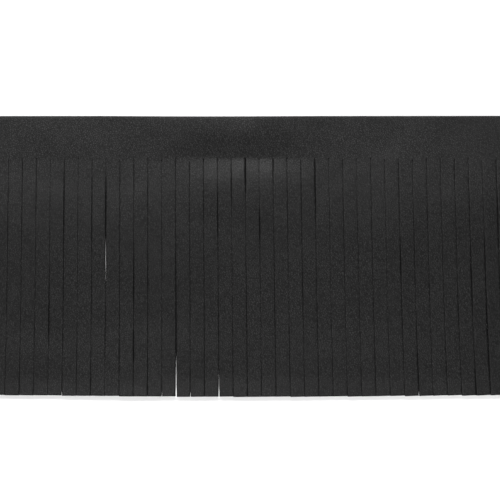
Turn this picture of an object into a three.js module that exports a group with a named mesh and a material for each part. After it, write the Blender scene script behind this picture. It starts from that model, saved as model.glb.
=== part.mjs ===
// A faux leather fringe trim: one strip of coated cloth with a plain heading band, slit by a knife into
// flat strands below it. It lies face up on a flat surface, as a cut length of 250 mm.
// Millimetres. X runs along the heading, +Y from the strand tips to the heading's edge, Z is up.
// The origin is the middle of the footprint, on the surface.

import * as THREE from "three";
import { mergeGeometries, mergeVertices } from "three/addons/utils/BufferGeometryUtils.js";

// The cut strip
const TRIM_LENGTH = 250;
const HEADING_DEPTH = 15;
const STRAND_LENGTH = 85;
const STRAND_COUNT = 50;
const STRAND_PITCH = TRIM_LENGTH / STRAND_COUNT;
const SLIT_WIDTH = 0.2;
const THICKNESS = 1;

// Places across the strip, with the whole depth centred on zero
const HEADING_EDGE = (HEADING_DEPTH + STRAND_LENGTH) / 2;
const SLIT_LINE = HEADING_EDGE - HEADING_DEPTH;

// How the strands spread: each leans away from the one that hangs straight, more so towards its tip
const STRAIGHT_AT = -33;
const FAN_LEAN = 0.0255;
const FAN_POWER = 1.25;

// How the row of tips bows, and how uneven one strand is beside the next
const TIP_BOW = 0.75;
const TIP_BOW_REACH = 120;
const LENGTH_UNEVEN = 0.08;
const LIFT_UNEVEN = 0.1;

// How a strand rolls: one long edge stays down and the other lifts, less again towards the tip
const ROLL_LIFT = 0.2;
const ROLL_FROM_ROOT = 0.3;
const ROLL_LOST_AT_TIP = 0.6;

// How far the soft strip settles, so that its lowest stretches lie flat on the surface
const SETTLE = 0.15;

// How far the heading's edge is drawn in where the heading is dented
const EDGE_DRAW = 0.18;
const EDGE_DRAW_X = -10;
const EDGE_DRAW_REACH = 45;

// Steps along a strand, crowded towards the root where it bends most, and across the heading
const STRAND_STEPS = 12;
const ROOT_CROWDING = 1.4;
const HEADING_STEPS = 6;

// Rows of a table as objects with named columns
function table(columns, rows) {
  return rows.map((row) => Object.fromEntries(columns.map((name, column) => [name, row[column]])));
}

// Soft folds as heights of the underside. Each has its crest at x, y, fades out over reach to both sides,
// and over above and below towards the heading's edge and the tips. A power of 2 runs out flat, and a
// lower one meets its foot at an angle.
const FOLDS = table(
  ["name", "x", "reach", "y", "above", "below", "powerAbove", "powerBelow", "rise"],
  [
    ["arch over the roots", 0, 1000, 12, 33, 33, 2, 2, 0.62],
    ["rise of the tips", 0, 1000, -60, 46, 36, 2, 2, 1.15],
    ["rise of a few tips", -43, 30, -60, 46, 36, 2, 2, 0.45],
    ["curl of the tips", 0, 1000, -57, 14.5, 12, 2, 2, 0.9],
    ["dent of the heading", -5, 41, 45, 20, 10.3, 2, 1.45, 1.05],
    ["crease at the roots", -1, 34, 25.4, 9.6, 18, 1.3, 2, 0.54],
    ["lift of the right end", 105, 92, 24, 90, 41, 2, 2, 1.3],
  ],
);

// Slits that stand open: slit n lies left of strand n, counted from the left end. It starts to part,
// is widest and closes again at these shares of the strand's length, a close past 1 staying open.
const OPEN_SLITS = table(
  ["slit", "starts", "widest", "closes", "width"],
  [
    [15, 0.29, 0.44, 0.59, 0.14],
    [20, 0.82, 1, 2, 0.38],
    [23, 0.88, 1, 2, 0.36],
  ],
);

// Fixed uneven numbers from -1 to 1: equal turns of an irrational step never repeat
const TURNS = { length: 0.754878, lift: 0.56984, roll: 0.819173 };
const uneven = (strand, turn) => 2 * (((strand + 1) * turn) % 1) - 1;

// A rounded bump: 1 at the crest, 0 from one reach away
function bump(offset, reach, power = 2) {
  const share = Math.min(Math.abs(offset) / reach, 1);
  return Math.cos((share * Math.PI) / 2) ** power;
}

// What settles no lower than the surface
const settled = (height) => Math.max(height - SETTLE, 0);

// Height of the underside where all folds add up, before it settles
function foldHeight(x, y) {
  return FOLDS.reduce((height, fold) => {
    const [fade, power] = y > fold.y ? [fold.above, fold.powerAbove] : [fold.below, fold.powerBelow];
    return height + fold.rise * bump(x - fold.x, fold.reach) * bump(y - fold.y, fade, power);
  }, 0);
}

// How wide a slit is at a share of the strand's length
function slitGap(slit, along) {
  return OPEN_SLITS.filter((open) => open.slit === slit).reduce((gap, open) => {
    const fade = along < open.widest ? open.widest - open.starts : open.closes - open.widest;
    return gap + open.width * bump(along - open.widest, fade);
  }, SLIT_WIDTH);
}

// A point of a strand's underside: across from -0.5 to 0.5, along from 0 at the root to 1 at the tip
function strandPoint(strand, across, along) {
  const root = (strand + 0.5) * STRAND_PITCH - TRIM_LENGTH / 2;
  const tipLean = (root - STRAIGHT_AT) * FAN_LEAN;
  const fanned = along ** FAN_POWER;
  const width = STRAND_PITCH * (1 + FAN_LEAN * fanned);
  const [left, right] = [strand, strand + 1].map((slit) => (along > 0 ? slitGap(slit, along) / 2 : 0));
  const x = root + across * width + tipLean * fanned + (0.5 - across) * left - (0.5 + across) * right;

  const bow = TIP_BOW * bump(root, TIP_BOW_REACH);
  const length = STRAND_LENGTH + bow + LENGTH_UNEVEN * uneven(strand, TURNS.length);
  const slope = (tipLean * FAN_POWER * along ** (FAN_POWER - 1)) / length;
  const y = SLIT_LINE - along * length + across * STRAND_PITCH * slope;

  const freedom = Math.min(along / ROLL_FROM_ROOT, 1);
  const lift = 1 + freedom * LIFT_UNEVEN * uneven(strand, TURNS.lift);
  const rolled = freedom * (1 - ROLL_LOST_AT_TIP * along ** 2);
  const roll = rolled * ROLL_LIFT * uneven(strand, TURNS.roll);
  const z = foldHeight(x, y) * lift + Math.abs(roll) / 2 + roll * across;
  return [x, y, settled(z)];
}

// The heading's underside, with one column for each strand so that the roots meet it point to point
function headingSheet() {
  const sheet = new THREE.PlaneGeometry(TRIM_LENGTH, HEADING_DEPTH, STRAND_COUNT, HEADING_STEPS);
  const { position, uv } = sheet.attributes;
  for (let v = 0; v < position.count; v++) {
    const x = position.getX(v);
    const depth = HEADING_DEPTH - EDGE_DRAW * bump(x - EDGE_DRAW_X, EDGE_DRAW_REACH);
    const y = SLIT_LINE + uv.getY(v) * depth;
    position.setXYZ(v, x, y, settled(foldHeight(x, y)));
  }
  return sheet;
}

// One strand's underside, as wide as its slits leave it
function strandSheet(strand) {
  const sheet = new THREE.PlaneGeometry(1, 1, 1, STRAND_STEPS);
  const { position, uv } = sheet.attributes;
  for (let v = 0; v < position.count; v++) {
    const along = (1 - uv.getY(v)) ** ROOT_CROWDING;
    position.setXYZ(v, ...strandPoint(strand, uv.getX(v) - 0.5, along));
  }
  return sheet;
}

// The whole strip as one open sheet, the strands joined to the heading at their roots
function slitSheet() {
  const strands = Array.from({ length: STRAND_COUNT }, (_, strand) => strandSheet(strand));
  const joined = mergeGeometries([headingSheet(), ...strands]);
  joined.deleteAttribute("normal");
  joined.deleteAttribute("uv");
  return mergeVertices(joined);
}

// A closed solid from an open sheet: the sheet, its copy one thickness higher, and walls along the cuts
function thicken(sheet, thickness) {
  const under = sheet.attributes.position;
  const count = under.count;
  const points = Array.from(under.array);
  for (let v = 0; v < count; v++) {
    points.push(under.getX(v), under.getY(v), under.getZ(v) + thickness);
  }
  const corners = Array.from(sheet.index.array);
  const faces = [];
  const edges = new Map();
  for (let t = 0; t < corners.length; t += 3) {
    const [a, b, c] = corners.slice(t, t + 3);
    faces.push(a + count, b + count, c + count, a, c, b);
    [[a, b], [b, c], [c, a]].forEach(([from, to]) => edges.set(`${from} ${to}`, [from, to]));
  }
  for (const [from, to] of edges.values()) {
    if (edges.has(`${to} ${from}`)) continue;
    faces.push(from, to, to + count, from, to + count, from + count);
  }
  const solid = new THREE.BufferGeometry();
  solid.setAttribute("position", new THREE.Float32BufferAttribute(points, 3));
  solid.setIndex(faces);
  return solid;
}

// Moves a solid so that the middle of its footprint is the origin
function standOnOrigin(solid) {
  solid.computeBoundingBox();
  const middle = solid.boundingBox.getCenter(new THREE.Vector3());
  solid.translate(-middle.x, -middle.y, -solid.boundingBox.min.z);
  solid.computeVertexNormals();
  return solid;
}

const fauxLeather = new THREE.MeshStandardMaterial({ color: 0x2d2d2d, roughness: 0.6, metalness: 0 });
const trim = new THREE.Mesh(standOnOrigin(thicken(slitSheet(), THICKNESS)), fauxLeather);
trim.name = "fringe_trim";

const fringe = new THREE.Group();
fringe.add(trim);

export default fringe;
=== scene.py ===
# %% [markdown]
# # A black faux leather fringe trim
# The trim is one strip of coated cloth, about a millimetre thick. A band along its top, the
# heading, is left whole, and a row of knife slits below it makes the strands. It lies face up on
# a pale table. This lesson builds it as a maker would cut it: a flat strip, slit, laid down with
# its soft folds, and then given a grained black face, a knitted back and a fibrous cut edge.

# %% Load the frame
import math

import bpy
import numpy as np
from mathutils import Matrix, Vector


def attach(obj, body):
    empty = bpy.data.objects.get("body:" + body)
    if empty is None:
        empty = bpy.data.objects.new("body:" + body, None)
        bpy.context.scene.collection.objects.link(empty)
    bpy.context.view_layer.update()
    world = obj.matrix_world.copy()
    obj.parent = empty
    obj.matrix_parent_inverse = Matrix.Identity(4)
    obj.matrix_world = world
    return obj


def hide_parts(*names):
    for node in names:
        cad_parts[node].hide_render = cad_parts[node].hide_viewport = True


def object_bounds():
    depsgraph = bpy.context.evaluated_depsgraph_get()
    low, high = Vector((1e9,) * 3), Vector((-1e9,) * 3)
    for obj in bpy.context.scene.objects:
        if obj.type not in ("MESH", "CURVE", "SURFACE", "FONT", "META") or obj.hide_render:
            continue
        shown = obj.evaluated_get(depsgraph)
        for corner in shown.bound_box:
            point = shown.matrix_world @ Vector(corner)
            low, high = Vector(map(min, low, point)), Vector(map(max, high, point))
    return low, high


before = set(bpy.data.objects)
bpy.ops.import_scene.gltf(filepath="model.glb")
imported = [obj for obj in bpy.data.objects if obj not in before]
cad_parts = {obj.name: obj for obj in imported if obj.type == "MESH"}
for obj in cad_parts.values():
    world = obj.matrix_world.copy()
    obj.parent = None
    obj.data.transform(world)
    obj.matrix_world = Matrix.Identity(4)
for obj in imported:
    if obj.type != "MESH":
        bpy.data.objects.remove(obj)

MM = 0.001

cad_low, cad_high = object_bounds()
print("frame box in mm:", [round(side / MM, 1) for side in cad_high - cad_low])

# %% [markdown]
# ## Sizes
# Every size is a real one, in metres. The strip has its own flat coordinates: X along the
# heading, Y from the tips up to the heading's edge, with zero in the middle of the flat cut. The
# strands lean to the right more than to the left, so the frame's middle is not quite the
# strip's: the heading's corners in the frame say by how much.

# %% Cut sizes
TRIM_LENGTH = 250 * MM
HEADING_DEPTH = 15 * MM
STRAND_LENGTH = 85 * MM
STRAND_COUNT = 50
STRAND_PITCH = TRIM_LENGTH / STRAND_COUNT
THICKNESS = 1 * MM
HEADING_EDGE = (HEADING_DEPTH + STRAND_LENGTH) / 2
SLIT_LINE = HEADING_EDGE - HEADING_DEPTH
print("strands:", STRAND_COUNT, "each", round(STRAND_PITCH / MM, 2), "mm wide")

# %% The strip's place in the frame
EDGE_TOUCH = 0.01 * MM

cad_points = [v.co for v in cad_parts["fringe_trim"].data.vertices]
heading_corners = [p.x for p in cad_points if p.y > cad_high.y - EDGE_TOUCH]
strip_x = (min(heading_corners) + max(heading_corners)) / 2
strip_y = cad_high.y - HEADING_EDGE
print("strip's middle in the frame, mm:", round(strip_x / MM, 3), round(strip_y / MM, 3))

# %% [markdown]
# ## The strands, one row each
# No two strands lie alike: they fan out a little, each lifts, rolls and bends in its own way, and
# each is cut a hair longer or shorter. Towards the right end of the strip they roll further.
# Random numbers would do, but equal turns of an irrational step spread the values evenly and give
# the same ones every time. The numbers become attributes on one point for each strand's root.

# %% Strand table
STRAIGHT_AT = -33 * MM
FAN_LEAN = 0.0255
FAN_POWER = 1.25
TIP_BOW = 0.75 * MM
TIP_BOW_REACH = 120 * MM
LENGTH_UNEVEN = 0.08 * MM
LIFT_UNEVEN = 0.1
ROLL_LIFT = 0.2 * MM
END_ROLL = 0.5 * MM
END_ROLL_REACH = 90 * MM
TURNS = {"length": 0.754878, "lift": 0.56984, "roll": 0.819173, "bend": 0.430159}

strand_numbers = np.arange(STRAND_COUNT)
roots = (strand_numbers + 0.5) * STRAND_PITCH - TRIM_LENGTH / 2


def uneven(name):
    """One number from -1 to 1 for each strand, the same every time."""
    return 2 * (((strand_numbers + 1) * TURNS[name]) % 1) - 1


def rounded_bump(offset, reach):
    """1 at the crest, 0 from one reach away."""
    share = np.minimum(np.abs(offset) / reach, 1)
    return np.cos(share * math.pi / 2) ** 2


tip_bow = TIP_BOW * rounded_bump(roots, TIP_BOW_REACH)
end_roll = END_ROLL * rounded_bump(roots - TRIM_LENGTH / 2, END_ROLL_REACH)
strand_table = {
    "strand": strand_numbers,
    "tip_lean": (roots - STRAIGHT_AT) * FAN_LEAN,
    "length": STRAND_LENGTH + tip_bow + LENGTH_UNEVEN * uneven("length"),
    "lift": 1 + LIFT_UNEVEN * uneven("lift"),
    "roll": ROLL_LIFT * uneven("roll") - end_roll,
    "bend": uneven("bend"),
}
tip_leans = [round(float(lean) / MM, 2) for lean in strand_table["tip_lean"][[0, -1]]]
print("first and last tip lean, mm:", tip_leans)

# %% Root points
root_mesh = bpy.data.meshes.new("trim_leather")
root_mesh.from_pydata([(float(root), 0, 0) for root in roots], [], [])
for name, values in strand_table.items():
    column = root_mesh.attributes.new(name, "FLOAT", "POINT")
    column.data.foreach_set("value", values.astype(np.float32))
trim = bpy.data.objects.new("trim_leather", root_mesh)
bpy.context.scene.collection.objects.link(trim)
print("root points:", len(root_mesh.vertices), "with", list(strand_table))

# %% [markdown]
# ## Writing nodes as sums
# A node tree for a shape like this is mostly arithmetic. Placing every Math node by hand would
# bury the idea, so a small class lets Python's own signs add the nodes: `a + b * 2` on two fields
# becomes two Math nodes. The same helpers serve the geometry and the materials.


# %% Fields
class Field:
    """A number that varies over a mesh or surface. Sums with it add Math nodes to its tree."""

    def __init__(self, tree, socket):
        self.tree = tree
        self.socket = socket

    def math(self, operation, *others):
        return math_node(self.tree, operation, self, *others)

    def __add__(self, other):
        return self.math("ADD", other)

    def __sub__(self, other):
        return self.math("SUBTRACT", other)

    def __rsub__(self, other):
        return math_node(self.tree, "SUBTRACT", other, self)

    def __mul__(self, other):
        return self.math("MULTIPLY", other)

    def __truediv__(self, other):
        return self.math("DIVIDE", other)

    def __rtruediv__(self, other):
        return math_node(self.tree, "DIVIDE", other, self)

    def __pow__(self, other):
        return self.math("POWER", other)

    def clamped(self):
        return self.math("MAXIMUM", 0).math("MINIMUM", 1)

    __radd__ = __add__
    __rmul__ = __mul__


def math_node(tree, operation, *values):
    """One Math node, as a field."""
    node = tree.nodes.new("ShaderNodeMath")
    node.operation = operation
    for socket, value in zip(node.inputs, values):
        feed(tree, socket, value)
    return Field(tree, node.outputs[0])


def feed(tree, socket, value):
    """Links a field or another node's socket into an input, or sets a plain value there."""
    if isinstance(value, Field):
        tree.links.new(value.socket, socket)
    elif isinstance(value, bpy.types.NodeSocket):
        tree.links.new(value, socket)
    else:
        socket.default_value = value


print("made:", Field.__name__, "for sums with + - * / **")

# %% Node helpers
FLOAT = "NodeSocketFloat"
WHOLE = "NodeSocketInt"
GEOMETRY = "NodeSocketGeometry"


def add_node(tree, kind, settings=None, **inputs):
    """Adds a node, sets its own settings, and feeds its inputs by name, with _ for a space."""
    node = tree.nodes.new(kind)
    for key, value in (settings or {}).items():
        setattr(node, key, value)
    for key, value in inputs.items():
        feed(tree, node.inputs[key.replace("_", " ")], value)
    return node


def new_group(name, kind, inputs, outputs):
    """A node group with named sockets: its tree, its inputs as fields, and its output node."""
    tree = bpy.data.node_groups.new(name, kind)
    for label, socket_type in inputs.items():
        tree.interface.new_socket(label, in_out="INPUT", socket_type=socket_type)
    for label, socket_type in outputs.items():
        tree.interface.new_socket(label, in_out="OUTPUT", socket_type=socket_type)
    source = tree.nodes.new("NodeGroupInput")
    sink = tree.nodes.new("NodeGroupOutput")
    given = {label: Field(tree, source.outputs[label]) for label in inputs}
    return tree, given, sink


def use_group(tree, group, values):
    """One use of a node group in a tree: its outputs as fields, by name."""
    kind = "ShaderNodeGroup" if tree.bl_idname == "ShaderNodeTree" else "GeometryNodeGroup"
    node = add_node(tree, kind, {"node_tree": group})
    for label, value in values.items():
        feed(tree, node.inputs[label], value)
    return {socket.name: Field(tree, socket) for socket in node.outputs}


print("made:", add_node.__name__, new_group.__name__, use_group.__name__)

# %% [markdown]
# ## Soft folds
# The strip does not lie dead flat. It arches a little over the roots, the tips rise and curl, the
# right end is lifted, and in the middle the heading is dented, with a crease along the roots
# below it. A cloth simulation would give folds of its own, so each fold is listed instead: one
# row with its crest, how far it fades out to each side, how sharply it ends there, its height,
# and how unevenly the strands take it. A group turns a row into a height.

# %% Fold table, in millimetres
FOLD_COLUMNS = (
    "name", "x", "reach", "y", "above", "below", "power above", "power below", "rise", "uneven"
)
FOLD_ROWS = [
    ("arch over the roots", 0, 1000, 12, 33, 33, 2, 2, 0.62, 0),
    ("rise of the tips", 0, 1000, -60, 46, 36, 2, 2, 1.15, 0.05),
    ("rise of a few tips", -43, 30, -60, 46, 36, 2, 2, 0.45, 0),
    ("curl of the tips", 0, 1000, -57, 14.5, 12, 2, 2, 0.9, 0.15),
    ("dent of the heading", -5, 41, 45, 20, 10.3, 2, 1.45, 1.05, 0),
    ("crease at the roots", 2, 36, 25.4, 9.6, 17, 1.3, 2, 0.54, 0.3),
    ("lift of the right end", 105, 92, 24, 90, 41, 2, 2, 1.3, 0),
]
FOLDS = [dict(zip(FOLD_COLUMNS, row)) for row in FOLD_ROWS]
print("folds:", [row["name"] for row in FOLDS])


# %% Fold group
def either(test, yes, no):
    """One of two fields, by a test that is 1 or 0."""
    return test * yes + (1 - test) * no


def soft_bump(offset, reach, power=2):
    """The rounded bump in nodes. A power of 2 runs out flat, a lower one ends at an angle."""
    share = (offset.math("ABSOLUTE") / reach).math("MINIMUM", 1)
    return (share * (math.pi / 2)).math("COSINE") ** power


fold_inputs = (
    "X", "Y", "Crest X", "Crest Y", "Reach", "Above", "Below", "Power Above", "Power Below", "Rise"
)
fold_group, fold, fold_out = new_group(
    "soft_fold", "GeometryNodeTree", dict.fromkeys(fold_inputs, FLOAT), {"Height": FLOAT}
)
up = fold["Y"] - fold["Crest Y"]
is_above = up.math("GREATER_THAN", 0)
fade = either(is_above, fold["Above"], fold["Below"])
power = either(is_above, fold["Power Above"], fold["Power Below"])
along_crest = soft_bump(fold["X"] - fold["Crest X"], fold["Reach"])
over_crest = soft_bump(up, fade, power)
feed(fold_group, fold_out.inputs["Height"], fold["Rise"] * along_crest * over_crest)
print("fold group:", len(fold_group.nodes), "nodes")

# %% [markdown]
# ## The knife's cut
# A slit in coated cloth is a groove. Its sides press together at the back, while the face draws
# apart by a tenth of a millimetre or two, never evenly, and more towards the tips. At the top it
# may end in a tiny eye where the knife went in. Noise along each slit makes its width wander, and
# turns of the slit's number say where it starts, how loose it is and how large its eye is.
# Some slits gape more than the rest, and those are listed: where each starts to part, is widest
# and closes, as shares of the strand's length, and how many millimetres it opens, at the face
# alone or right through to the table. A slit that opens right through parts as a wedge.

# %% Slits that gape, each numbered as the strand to its right
OPEN_COLUMNS = ("slit", "starts", "widest", "closes", "face", "through")
OPEN_ROWS = [
    (11, 0.42, 0.66, 0.84, 0.15, 0),
    (12, 0.02, 0.22, 0.40, 0.08, 0),
    (12, 0.98, 1.00, 2.00, 0, 0.12),
    (14, 0.06, 0.25, 0.46, 0.08, 0),
    (15, 0.03, 0.22, 0.40, 0.28, 0),
    (15, 0.32, 0.40, 0.56, 0, 0.19),
    (15, 0.54, 0.70, 0.88, 0.10, 0),
    (17, 0.30, 0.54, 0.72, 0.16, 0),
    (17, 0.66, 0.78, 0.94, 0.14, 0),
    (19, 0.98, 1.00, 2.00, 0, 0.14),
    (20, 0.30, 0.78, 0.88, 0.22, 0),
    (20, 0.81, 0.97, 2.00, 0, 0.40),
    (21, 0.98, 1.00, 2.00, 0, 0.17),
    (22, -0.20, 0.30, 0.70, 0.07, 0),
    (23, 0.06, 0.26, 0.44, 0.13, 0),
    (23, 0.875, 1.06, 2.00, 0, 0.36),
    (24, -0.10, 0.11, 0.26, 0.06, 0),
    (25, -0.10, 0.05, 0.22, 0.17, 0),
    (26, 0.18, 0.29, 0.38, 0.21, 0),
    (27, -0.10, 0.03, 0.16, 0.10, 0),
    (30, -0.10, 0.08, 0.34, 0.15, 0),
    (36, 0.26, 0.43, 0.60, 0.16, 0),
    (37, 0.50, 1.00, 1.50, 0.07, 0),
    (37, 0.98, 1.00, 2.00, 0, 0.14),
    (41, 0.34, 0.49, 0.70, 0.20, 0),
    (41, 0.72, 1.00, 1.40, 0.17, 0),
    (42, 0.26, 0.43, 0.58, 0.17, 0),
    (42, 0.48, 0.70, 1.10, 0.27, 0),
    (43, 0.10, 0.27, 0.42, 0.18, 0),
]
OPEN_SLITS = [dict(zip(OPEN_COLUMNS, row)) for row in OPEN_ROWS]
print("places where a slit gapes:", len(OPEN_SLITS))

# %% Slit group: how loose a slit is
SLIT_STRIDE = 3.7
SLIT_WANDER = 4.0
LOOSE_LEVEL = 0.2
LOOSE_GAIN = 1.1
LOOSER_AT_TIP = 0.4
TIGHTEST_SLIT = 0.8
LOOSEST_SLIT = 1.2
SLIT_TURNS = {"start": 0.618034, "eye": 0.671044, "loose": 0.549700}


def vector(tree, x=0.0, y=0.0, z=0.0):
    """Three fields or numbers as one vector."""
    return add_node(tree, "ShaderNodeCombineXYZ", X=x, Y=y, Z=z).outputs["Vector"]


def noise(tree, place, scale, detail, settings=None, **more):
    """Smooth noise, as a field around one half."""
    inputs = {"Vector": place, "Scale": scale, "Detail": detail, **more}
    return Field(tree, add_node(tree, "ShaderNodeTexNoise", settings, **inputs).outputs[0])


slit_inputs = ("Slit", "Along", "Back Press", "Slit Width", "Eye Width", "Seed")
slit_group, cut, slit_out = new_group(
    "slit_gap",
    "GeometryNodeTree",
    dict.fromkeys(slit_inputs, FLOAT),
    {"Face": FLOAT, "Through": FLOAT},
)
slit_place = vector(
    slit_group, cut["Slit"] * SLIT_STRIDE + cut["Seed"], cut["Along"] * SLIT_WANDER
)
wander = noise(slit_group, slit_place, scale=1.0, detail=1.0, settings={"noise_dimensions": "2D"})
own = {key: (cut["Slit"] * turn).math("FRACT") for key, turn in SLIT_TURNS.items()}
own_loose = either(own["loose"], LOOSEST_SLIT, TIGHTEST_SLIT)
loose = ((wander + LOOSE_LEVEL) * LOOSE_GAIN).clamped()
loose = loose * own_loose * (1 + cut["Along"] * LOOSER_AT_TIP)
print("slit group so far:", len(slit_group.nodes), "nodes")

# %% Slit group: how wide a slit is
START_UNEVEN = 1.2 * MM
CUT_IN = 0.8 * MM
EYE_LENGTH = 0.6 * MM
SMALLEST_EYE = 0.3
WEDGE = 1

past_start = cut["Along"] * STRAND_LENGTH - own["start"] * START_UNEVEN
eye_size = either(own["eye"], 1, SMALLEST_EYE)
eye = (1 - past_start.math("ABSOLUTE") / EYE_LENGTH).clamped() * eye_size
groove = cut["Slit Width"] * loose * (past_start / CUT_IN).clamped()
face_gap = groove + cut["Eye Width"] * eye
through_gap = cut["Back Press"] * -1
for row in OPEN_SLITS:
    past_widest = cut["Along"] - row["widest"]
    is_past = past_widest.math("GREATER_THAN", 0)
    parting = either(is_past, row["closes"] - row["widest"], row["widest"] - row["starts"])
    is_here = 1 - (cut["Slit"] - row["slit"]).math("ABSOLUTE").math("MINIMUM", 1)
    if row["face"]:
        face_gap = face_gap + is_here * soft_bump(past_widest, parting) * (row["face"] * MM)
    if row["through"]:
        wedge = soft_bump(past_widest, parting, WEDGE)
        through_gap = through_gap + is_here * wedge * (row["through"] * MM)
is_cut = cut["Along"].math("GREATER_THAN", 0)
feed(slit_group, slit_out.inputs["Face"], is_cut * face_gap)
feed(slit_group, slit_out.inputs["Through"], is_cut * through_gap)
print("slit group:", len(slit_group.nodes), "nodes")

# %% [markdown]
# ## The strip as a node tree
# What repeats is one strand with its piece of heading, so the tree makes that once as a flat grid
# of unit size and sets a copy on each root point. Two numbers travel with every vertex: where it
# is across the strand, and how far along it, counted from the slit line. From these and the
# strand's own attributes the tree works out where the vertex lies. Merging then welds the heading
# together, while the slits keep the strands apart.

# %% Strip tree: its sizes
strip_sizes = {
    "Strand Pitch": STRAND_PITCH,
    "Heading Depth": HEADING_DEPTH,
    "Back Press": 0.02 * MM,
    "Slit Width": 0.135 * MM,
    "Eye Width": 0.3 * MM,
    "Thickness": THICKNESS,
    "Ripple Height": 0.35 * MM,
    "Ripple Size": 16 * MM,
    "Edge Drop": 0.05 * MM,
    "Edge Reach": 0.08 * MM,
    "End Reach": 0.4 * MM,
    "Seed": 5.0,
}
strip_counts = {"Columns": 8, "Strand Rows": 64, "Heading Rows": 12}
strip_inputs = {
    "Roots": GEOMETRY,
    **dict.fromkeys(strip_counts, WHOLE),
    **dict.fromkeys(strip_sizes, FLOAT),
}
strip, given, strip_out = new_group(
    "slit_strip", "GeometryNodeTree", strip_inputs, {"Mesh": GEOMETRY}
)
print("strip tree inputs:", list(strip_inputs))

# %% Strip tree: the flat copies
COLUMN_CROWDING = 2.2
ROW_CROWDING = 1.6


def position(tree):
    """The X, Y and Z of a vertex, as fields."""
    place = add_node(tree, "GeometryNodeInputPosition").outputs[0]
    parts = add_node(tree, "ShaderNodeSeparateXYZ", Vector=place)
    return [Field(tree, socket) for socket in parts.outputs]


def store(tree, geometry, name, value):
    """Stores a field on the vertices under a name."""
    settings = {"data_type": "FLOAT", "domain": "POINT"}
    inputs = {"Geometry": geometry, "Name": name, "Value": value}
    return add_node(tree, "GeometryNodeStoreNamedAttribute", settings, **inputs).outputs[0]


def join(tree, *meshes):
    """Several meshes as one."""
    node = tree.nodes.new("GeometryNodeJoinGeometry")
    for mesh in meshes:
        feed(tree, node.inputs[0], mesh)
    return node.outputs["Geometry"]


def crowd(share, power):
    """Moves grid lines from -0.5 to 0.5 closer to both ends, where edges are rounded."""
    return share.math("SIGN") * (1 - (1 - share.math("ABSOLUTE") * 2) ** power) / 2


def unit_grid(rows, middle):
    """A flat grid of unit size that knows across and along, with its middle so far along."""
    counts = {"Vertices_X": given["Columns"] + 1, "Vertices_Y": rows + 1}
    grid = add_node(strip, "GeometryNodeMeshGrid", Size_X=1.0, Size_Y=1.0, **counts)
    x, y, _ = position(strip)
    flat = store(strip, grid.outputs["Mesh"], "across", crowd(x, COLUMN_CROWDING))
    return store(strip, flat, "along", middle - crowd(y, ROW_CROWDING))


strand_grid = unit_grid(given["Strand Rows"], 0.5)
heading_grid = unit_grid(given["Heading Rows"], -0.5)
copies = add_node(
    strip,
    "GeometryNodeInstanceOnPoints",
    Points=given["Roots"],
    Instance=join(strip, strand_grid, heading_grid),
)
flat_copies = add_node(
    strip, "GeometryNodeRealizeInstances", Geometry=copies.outputs["Instances"]
)
print("strip tree so far:", len(strip.nodes), "nodes")

# %% [markdown]
# ## Laying the strip down
# Now each vertex gets its place. Across, it keeps to its strand, which widens with the fan, is
# drawn in by half the slit on either side, and leans. The end of a leaning strand is cut square
# to the strand, so its rows turn with it. In height, the folds add up, and a rolled strand keeps
# one edge down. The strip is soft, so it settles, and its lowest stretches lie flat on the table.
# Last, a slow ripple keeps the face from looking pressed.

# %% Strip tree: places across and along
EDGE_DRAW = 0.18 * MM
EDGE_DRAW_X = -10 * MM
EDGE_DRAW_REACH = 45 * MM


def named(tree, name):
    """A stored attribute, as a field."""
    node = add_node(tree, "GeometryNodeInputNamedAttribute", {"data_type": "FLOAT"}, Name=name)
    return Field(tree, node.outputs["Attribute"])


def slit_gap(slit):
    """How wide one slit is at this vertex, at the face and right through."""
    widths = {label: given[label] for label in ("Back Press", "Slit Width", "Eye Width", "Seed")}
    return use_group(strip, slit_group, {"Slit": slit, "Along": below, **widths})


def drawn_in(label):
    """How far the slits on both sides draw this vertex in."""
    return ((0.5 - across) * left_slit[label] - (across + 0.5) * right_slit[label]) / 2


strand, across, along = (named(strip, name) for name in ("strand", "across", "along"))
tip_lean, length = (named(strip, name) for name in ("tip_lean", "length"))
below = along.math("MAXIMUM", 0)
above = (along * -1).math("MAXIMUM", 0)
left_slit = slit_gap(strand)
right_slit = slit_gap(strand + 1)

root_x = (strand + (0.5 - STRAND_COUNT / 2)) * given["Strand Pitch"]
fanned = below**FAN_POWER
strand_width = given["Strand Pitch"] * (1 + fanned * FAN_LEAN)
x = root_x + across * strand_width + tip_lean * fanned + drawn_in("Through")
edge_draw = EDGE_DRAW * soft_bump(x - EDGE_DRAW_X, EDGE_DRAW_REACH)
heading_depth = given["Heading Depth"] - edge_draw
lean_slope = tip_lean * FAN_POWER * below ** (FAN_POWER - 1) / length
square_cut = across * given["Strand Pitch"] * lean_slope
y = SLIT_LINE + above * heading_depth - below * length + square_cut
print("strip tree so far:", len(strip.nodes), "nodes")

# %% Strip tree: heights
ROLL_FROM_ROOT = 0.3
ROLL_LOST_AT_TIP = 0.6
SETTLE = 0.15 * MM
RIPPLE_LEVEL = 0.25

lift, roll, bend = (named(strip, name) for name in ("lift", "roll", "bend"))
freedom = (below / ROLL_FROM_ROOT).math("MINIMUM", 1)
rolled = freedom * (1 - below**2 * ROLL_LOST_AT_TIP)
height = rolled * (roll.math("ABSOLUTE") / 2 + roll * across)
strand_lift = 1 + freedom * (lift - 1)
for row in FOLDS:
    crest = {"X": x, "Y": y, "Crest X": row["x"] * MM, "Crest Y": row["y"] * MM}
    reaches = {label.title(): row[label] * MM for label in ("reach", "above", "below", "rise")}
    powers = {label.title(): row[label] for label in ("power above", "power below")}
    one_fold = use_group(strip, fold_group, {**crest, **reaches, **powers})["Height"]
    height = height + one_fold * strand_lift * (1 + bend * row["uneven"])
height = (height - SETTLE).math("MAXIMUM", 0)

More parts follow.
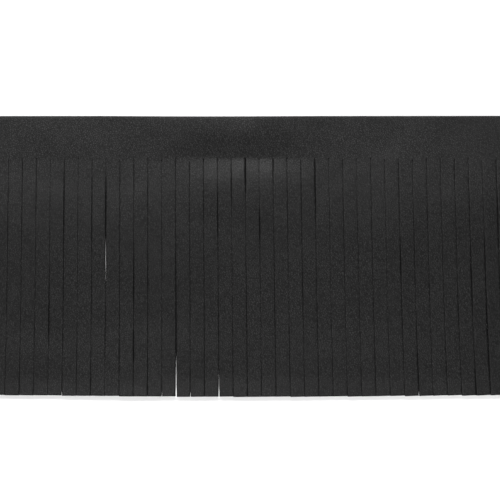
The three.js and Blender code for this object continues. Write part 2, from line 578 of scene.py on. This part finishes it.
ripple_size = given["Ripple Size"]
ripple_place = vector(strip, x / ripple_size, y / ripple_size, given["Seed"])
ripple = noise(strip, ripple_place, scale=1.0, detail=1.0)
height = height + (ripple - RIPPLE_LEVEL) * given["Ripple Height"]
laid = add_node(
    strip,
    "GeometryNodeSetPosition",
    Geometry=flat_copies.outputs["Geometry"],
    Position=vector(strip, x + strip_x, y + strip_y, height),
)
print("strip tree so far:", len(strip.nodes), "nodes")

# %% [markdown]
# ## Thickness and rounded edges
# A Solidify modifier would give the sheet thickness, but the knife's edge matters here: the blade
# presses the coated face down as it cuts, and the face then draws back, so each edge is rounded
# over on the face side and square at the back. The tree stores how near every vertex is to a cut,
# extrudes the sheet upwards, and lowers and draws in the face near the cuts. A flipped copy of
# the sheet closes the back.

# %% Strip tree: how near a cut is
DEEPEST_PRESS = 2.0
HEADING_PRESS = 1.0
TIP_PRESS = 0.3


def near(distance, reach):
    """1 at a cut, falling to 0 one reach away."""
    return (1 - (distance / reach).math("MINIMUM", 1)) ** 2


def parted(slit, is_end):
    """How hard an edge is pressed: fully at the strip's ends, at a slit by how far it gapes."""
    gaping = (slit["Face"] / given["Slit Width"]).math("MINIMUM", DEEPEST_PRESS)
    return gaping.math("MAXIMUM", is_end)


is_strand = along.math("GREATER_THAN", 0)
is_first = strand.math("LESS_THAN", 0.5)
is_last = strand.math("GREATER_THAN", STRAND_COUNT - 1.5)
from_left = (across + 0.5) * given["Strand Pitch"]
from_right = (0.5 - across) * given["Strand Pitch"]
from_end = either(is_strand, (1 - below) * length, (1 - above) * given["Heading Depth"])
left_rim = near(from_left, given["Edge Reach"]) * parted(left_slit, is_first)
right_rim = near(from_right, given["Edge Reach"]) * parted(right_slit, is_last)
end_rim = near(from_end, given["End Reach"]) * either(is_strand, TIP_PRESS, HEADING_PRESS)
rim = left_rim.math("MAXIMUM", right_rim).math("MAXIMUM", end_rim)
edged = store(strip, laid.outputs["Geometry"], "rim", rim)
edged = store(strip, edged, "drawn", drawn_in("Face"))
print("strip tree so far:", len(strip.nodes), "nodes")

# %% Strip tree: thickness
WELD = 0.001 * MM


def weld(tree, mesh):
    """Joins points that lie in one place."""
    node = add_node(tree, "GeometryNodeMergeByDistance", Geometry=mesh, Distance=WELD)
    return node.outputs["Geometry"]


sheet = weld(strip, edged)
raised = add_node(
    strip,
    "GeometryNodeExtrudeMesh",
    {"mode": "FACES"},
    Mesh=sheet,
    Offset=vector(strip, z=given["Thickness"]),
    Offset_Scale=1.0,
    Individual=False,
)
face_side = raised.outputs["Top"]
pressed = named(strip, "rim") * given["Edge Drop"] * -1
rounded = add_node(
    strip,
    "GeometryNodeSetPosition",
    Geometry=raised.outputs["Mesh"],
    Selection=face_side,
    Offset=vector(strip, named(strip, "drawn"), z=pressed),
)
layered = store(strip, rounded.outputs["Geometry"], "layer", face_side)
back = add_node(strip, "GeometryNodeFlipFaces", Mesh=sheet)
closed = weld(strip, join(strip, layered, back.outputs["Mesh"]))
print("strip tree so far:", len(strip.nodes), "nodes")

# %% [markdown]
# ## Mottle and knit
# No real black is one flat colour. A slow mottle, from a few millimetres to a few centimetres
# across, shifts the tone of every finish a little, so it is a node group that they share. The
# backing's knit is a group too, which keeps its arithmetic in one place: the ribs are two waves,
# and the second sways with the first. A picture of real cloth could serve instead, but would show
# its repeats. Both groups read Object coordinates: the strip lies nearly flat, so nothing
# stretches.


# %% Mottle group
def object_place(tree):
    """Where a point is on its object."""
    return add_node(tree, "ShaderNodeTexCoord").outputs["Object"]


MIDDLE_TONE = 0.5

mottle_group, mottle, mottle_out = new_group(
    "mottle", "ShaderNodeTree", {"Size": FLOAT, "Spread": FLOAT}, {"Tone": FLOAT}
)
mottle_place = object_place(mottle_group)
mottle_scale = 1 / mottle["Size"]
blotches = noise(mottle_group, mottle_place, scale=mottle_scale, detail=3.0, Roughness=0.6)
mottle_tone = 1 + (blotches - MIDDLE_TONE) * mottle["Spread"]
feed(mottle_group, mottle_out.inputs["Tone"], mottle_tone)
print("mottle group:", len(mottle_group.nodes), "nodes")

# %% Knit group
STITCH_SWAY = 1.6
RIB_LEVEL = 0.5
WALE_RISE = 0.3
STITCH_RISE = 0.2
FULL_TURN = 2 * math.pi

knit_group, knit, knit_out = new_group(
    "knit_ribs", "ShaderNodeTree", {"Wale": FLOAT, "Course": FLOAT}, {"Height": FLOAT}
)
knit_axes = add_node(knit_group, "ShaderNodeSeparateXYZ", Vector=object_place(knit_group))
knit_x, knit_y, _ = (Field(knit_group, socket) for socket in knit_axes.outputs)
wale_turn = knit_x / knit["Wale"] * FULL_TURN
course_turn = knit_y / knit["Course"] * FULL_TURN
stitch = (course_turn + wale_turn.math("SINE") * STITCH_SWAY).math("SINE")
knit_height = RIB_LEVEL + wale_turn.math("COSINE") * WALE_RISE + stitch * STITCH_RISE
feed(knit_group, knit_out.inputs["Height"], knit_height)
print("knit group:", len(knit_group.nodes), "nodes")

# %% [markdown]
# ## The coated face
# The face is a skin of soft plastic pressed with a leather grain: pebbles over half a millimetre
# across with fine creases between them, black, and more satin than shiny. A Voronoi pattern gives
# the pebbles, warped a little so that no cell is a neat polygon, and fine noise roughens them.
# The creases are painted darker than the crowns, partly their own tone and partly painted shade,
# and are a touch less smooth, as on any handled leather, and the rim beside each cut, where the
# blade pressed, is duller.


# %% Material helpers
def new_material(name):
    """A material with its Principled shader, ready for links."""
    material = bpy.data.materials.new(name)
    material.use_nodes = True
    return material, material.node_tree, material.node_tree.nodes["Principled BSDF"]


def attribute(tree, name):
    """One of the mesh's own numbers, as a field."""
    node = add_node(tree, "ShaderNodeAttribute", {"attribute_name": name})
    return Field(tree, node.outputs["Fac"])


def grey(tree, tone):
    """A neutral colour from one number."""
    return add_node(tree, "ShaderNodeCombineColor", Red=tone, Green=tone, Blue=tone).outputs[0]


def emboss(tree, shader, height, depth):
    """Presses a height into the surface as fine relief."""
    relief = add_node(tree, "ShaderNodeBump", Strength=1.0, Distance=depth, Height=height)
    feed(tree, shader.inputs["Normal"], relief.outputs[0])


print("made:", new_material.__name__, attribute.__name__, grey.__name__, emboss.__name__)

# %% Coated face: grain
PEBBLE = 0.61 * MM
WARP_SCALE = 0.6 / PEBBLE
WARP_SHIFT = 0.5 * PEBBLE
FINE_SCALE = 2.2 / PEBBLE
CREASE_STEEPNESS = 3
CROWN_SHARE = 0.6
FINE_SHARE = 0.4
GRAIN_DEPTH = 0.047 * MM

coated_face, tree, shader = new_material("coated_face")
place = object_place(tree)
warp = add_node(tree, "ShaderNodeTexNoise", Vector=place, Scale=WARP_SCALE, Detail=2.0)
shift = add_node(
    tree,
    "ShaderNodeVectorMath",
    {"operation": "SCALE"},
    Vector=warp.outputs["Color"],
    Scale=WARP_SHIFT,
)
warped = add_node(tree, "ShaderNodeVectorMath", {"operation": "ADD"})
feed(tree, warped.inputs[0], place)
feed(tree, warped.inputs[1], shift.outputs[0])
pebbles = add_node(
    tree,
    "ShaderNodeTexVoronoi",
    {"feature": "DISTANCE_TO_EDGE"},
    Vector=warped.outputs[0],
    Scale=1 / PEBBLE,
)
from_crease = Field(tree, pebbles.outputs["Distance"])
crown = (from_crease * CREASE_STEEPNESS).math("MINIMUM", 1)
fine = noise(tree, place, scale=FINE_SCALE, detail=3.0)
relief = crown * CROWN_SHARE + fine * FINE_SHARE
emboss(tree, shader, relief, GRAIN_DEPTH)
print("coated face so far:", len(tree.nodes), "nodes")

# %% Coated face: tone and polish
FACE_TONE = 0.0062
CROWN_GAIN = 3.9
FACE_MOTTLE = {"Size": 25 * MM, "Spread": 0.5}
FACE_ROUGHNESS = 0.5
CROWN_POLISH = 0.06
FINE_POLISH = 0.1
RIM_DULL = 0.15
FACE_GLOSS = 0.19

face_mottle = use_group(tree, mottle_group, FACE_MOTTLE)["Tone"]
# Darker creases: partly the grain's own tone, partly painted shade in the hollows
grain_and_crease_shade_tone = relief**2 * (CROWN_GAIN * FACE_TONE)
feed(tree, shader.inputs["Base Color"], grey(tree, face_mottle * grain_and_crease_shade_tone))
polish = crown * CROWN_POLISH + fine * FINE_POLISH
dull = attribute(tree, "rim") * RIM_DULL
feed(tree, shader.inputs["Roughness"], FACE_ROUGHNESS - polish + dull)
shader.inputs["Specular IOR Level"].default_value = FACE_GLOSS
print("coated face:", len(tree.nodes), "nodes")

# %% [markdown]
# ## The knitted back and the cut edge
# The back is a fine black knit, matt and a little paler than the face. In the cut edge the
# coating shows as a thin black line over the backing's fibres, which are fine noise. The `layer`
# number runs from 0 at the back to 1 at the face, so the edge material can tell the two apart
# wherever the strip happens to lie.

# %% Knitted back
KNIT = {"Wale": 0.9 * MM, "Course": 0.7 * MM}
KNIT_DEPTH = 0.08 * MM
BACK_TONE = 0.03
BACK_MOTTLE = {"Size": 18 * MM, "Spread": 0.5}
GROOVE_SHADE = 0.6
RIB_SHADE = 0.6
BACK_ROUGHNESS = 0.98
RIB_POLISH = 0.1
BACK_SHEEN = 0.15

knit_back, tree, shader = new_material("knit_back")
ribs = use_group(tree, knit_group, KNIT)["Height"]
back_mottle = use_group(tree, mottle_group, BACK_MOTTLE)["Tone"]
back_tone = back_mottle * (GROOVE_SHADE + ribs * RIB_SHADE) * BACK_TONE
feed(tree, shader.inputs["Base Color"], grey(tree, back_tone))
feed(tree, shader.inputs["Roughness"], BACK_ROUGHNESS - ribs * RIB_POLISH)
emboss(tree, shader, ribs, KNIT_DEPTH)
shader.inputs["Sheen Weight"].default_value = BACK_SHEEN
print("knitted back:", len(tree.nodes), "nodes")

# %% Cut edge
COATING_FROM = 0.62
FIBRE = 0.15 * MM
TUFT_DEPTH = 0.05 * MM
EDGE_TONE = 0.012
EDGE_MOTTLE = {"Size": 4 * MM, "Spread": 0.8}
FIBRE_SHADE = 0.5
FIBRE_ROUGHNESS = 0.95
COATING_POLISH = 0.3
EDGE_GLOSS = 0

cut_edge, tree, shader = new_material("cut_edge")
is_coating = attribute(tree, "layer").math("GREATER_THAN", COATING_FROM)
fibres = noise(tree, object_place(tree), scale=1 / FIBRE, detail=4.0)
edge_mottle = use_group(tree, mottle_group, EDGE_MOTTLE)["Tone"]
fibre_tone = edge_mottle * (FIBRE_SHADE + fibres) * EDGE_TONE
feed(tree, shader.inputs["Base Color"], grey(tree, either(is_coating, FACE_TONE, fibre_tone)))
feed(tree, shader.inputs["Roughness"], FIBRE_ROUGHNESS - is_coating * COATING_POLISH)
emboss(tree, shader, fibres, TUFT_DEPTH)
shader.inputs["Specular IOR Level"].default_value = EDGE_GLOSS
print("cut edge:", len(tree.nodes), "nodes")

# %% [markdown]
# ## Finishing the tree and making the mesh
# The last nodes smooth the shading, but keep the corner between face and cut sharp, and give each
# side its finish. The modifier's sizes are set by each socket's identifier. Then the evaluated
# shape becomes a plain mesh, because an export cannot carry a node tree, and the trim, one mesh
# that lies on the table, takes the place of the plain solid in the frame.

# %% Strip tree: finish
SHARP_FROM = math.radians(50)

smooth = add_node(strip, "GeometryNodeSetShadeSmooth", {"domain": "FACE"}, Geometry=closed)
edge_angle = add_node(strip, "GeometryNodeInputMeshEdgeAngle").outputs["Unsigned Angle"]
is_sharp = Field(strip, edge_angle).math("GREATER_THAN", SHARP_FROM)
shaded = add_node(
    strip,
    "GeometryNodeSetShadeSmooth",
    {"domain": "EDGE"},
    Geometry=smooth.outputs["Geometry"],
    Selection=is_sharp,
    Shade_Smooth=False,
)
finish = shaded.outputs["Geometry"]
sides = ((True, knit_back), (raised.outputs["Side"], cut_edge), (face_side, coated_face))
for side, material in sides:
    inputs = {"Geometry": finish, "Selection": side, "Material": material}
    finish = add_node(strip, "GeometryNodeSetMaterial", **inputs).outputs["Geometry"]
feed(strip, strip_out.inputs["Mesh"], finish)
print("strip tree:", len(strip.nodes), "nodes")

# %% Trim mesh
slitting = trim.modifiers.new("slit_strip", "NODES")
slitting.node_group = strip
modifier_values = {**strip_sizes, **strip_counts}
for socket in strip.interface.items_tree:
    if socket.in_out == "INPUT" and socket.name in modifier_values:
        slitting[socket.identifier] = modifier_values[socket.name]

depsgraph = bpy.context.evaluated_depsgraph_get()
trim_mesh = bpy.data.meshes.new_from_object(trim.evaluated_get(depsgraph))
trim.modifiers.remove(slitting)
trim.data = trim_mesh
# Only rim and layer stay on the mesh, for the materials
for name in (*strand_table, "drawn", "across", "along"):
    trim_mesh.attributes.remove(trim_mesh.attributes[name])
# Set Material leaves an empty slot before the finishes
while None in list(trim_mesh.materials):
    trim_mesh.materials.pop(index=list(trim_mesh.materials).index(None))
trim_mesh.calc_loop_triangles()
print("trim:", len(trim_mesh.vertices), "points,", len(trim_mesh.loop_triangles), "triangles")
print("finishes:", [material.name for material in trim_mesh.materials])

# %% Trim in the frame
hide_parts("fringe_trim")
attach(trim, "root")
print("trim in the frame:", trim.name)

# %% [markdown]
# ## Table, light and camera
# The photograph looks straight down on a white table. A soft light stands beyond the heading and
# a little to the left, so the folds that face it shine softly and the tips drop a thin shadow. A
# wider light, lower and on the near side, and an even pale surround fill that shadow. The camera
# hangs over the strip with a long lens, so nothing leans.

# %% Table
FLOOR_SIZE = 8.0
TABLE_WHITE = (0.82, 0.82, 0.82, 1)
TABLE_ROUGHNESS = 0.9
TABLE_GLOSS = 0.2

half = FLOOR_SIZE / 2
floor_corners = [(-half, -half, 0), (half, -half, 0), (half, half, 0), (-half, half, 0)]
floor_mesh = bpy.data.meshes.new("table_top")
floor_mesh.from_pydata(floor_corners, [], [(0, 1, 2, 3)])
floor = bpy.data.objects.new("table_top", floor_mesh)
bpy.context.scene.collection.objects.link(floor)
table, tree, shader = new_material("white_table")
shader.inputs["Base Color"].default_value = TABLE_WHITE
shader.inputs["Roughness"].default_value = TABLE_ROUGHNESS
shader.inputs["Specular IOR Level"].default_value = TABLE_GLOSS
floor_mesh.materials.append(table)
print("table:", floor.name, FLOOR_SIZE, "m wide")

# %% Light
SURROUND = 0.18

world = bpy.data.worlds.new("pale_surround")
world.use_nodes = True
surround = world.node_tree.nodes["Background"]
surround.inputs["Color"].default_value = (1, 1, 1, 1)
surround.inputs["Strength"].default_value = SURROUND
bpy.context.scene.world = world
bpy.context.scene.view_settings.view_transform = "Standard"


def soft_light(name, place, width, depth, power):
    """A rectangular area light, in metres and watts, that looks at the trim."""
    data = bpy.data.lights.new(name, "AREA")
    data.shape = "RECTANGLE"
    data.size, data.size_y = width, depth
    data.energy = power
    light = bpy.data.objects.new(name, data)
    bpy.context.scene.collection.objects.link(light)
    light.location = place
    light.rotation_euler = (-Vector(place)).to_track_quat("-Z", "Y").to_euler()
    print("light:", name, power, "W")


soft_light("key_light", place=(-0.12, 0.6, 0.73), width=0.5, depth=0.44, power=13.9)
soft_light("fill_light", place=(0.1, -0.7, 0.45), width=0.8, depth=0.3, power=11.0)

# %% Camera
LENS_MM = 135
SENSOR_MM = 36
VIEW_WIDTH = 179.6 * MM
VIEW_CENTRE = (strip_x + 1.71 * MM, strip_y + 1.87 * MM)

camera_height = THICKNESS + VIEW_WIDTH * LENS_MM / SENSOR_MM
camera_data = bpy.data.cameras.new("overhead_camera")
camera_data.lens = LENS_MM
camera_data.sensor_width = SENSOR_MM
camera = bpy.data.objects.new("overhead_camera", camera_data)
camera.location = (*VIEW_CENTRE, camera_height)
bpy.context.scene.collection.objects.link(camera)
bpy.context.scene.camera = camera
print("camera height in mm:", round(camera_height / MM, 1))
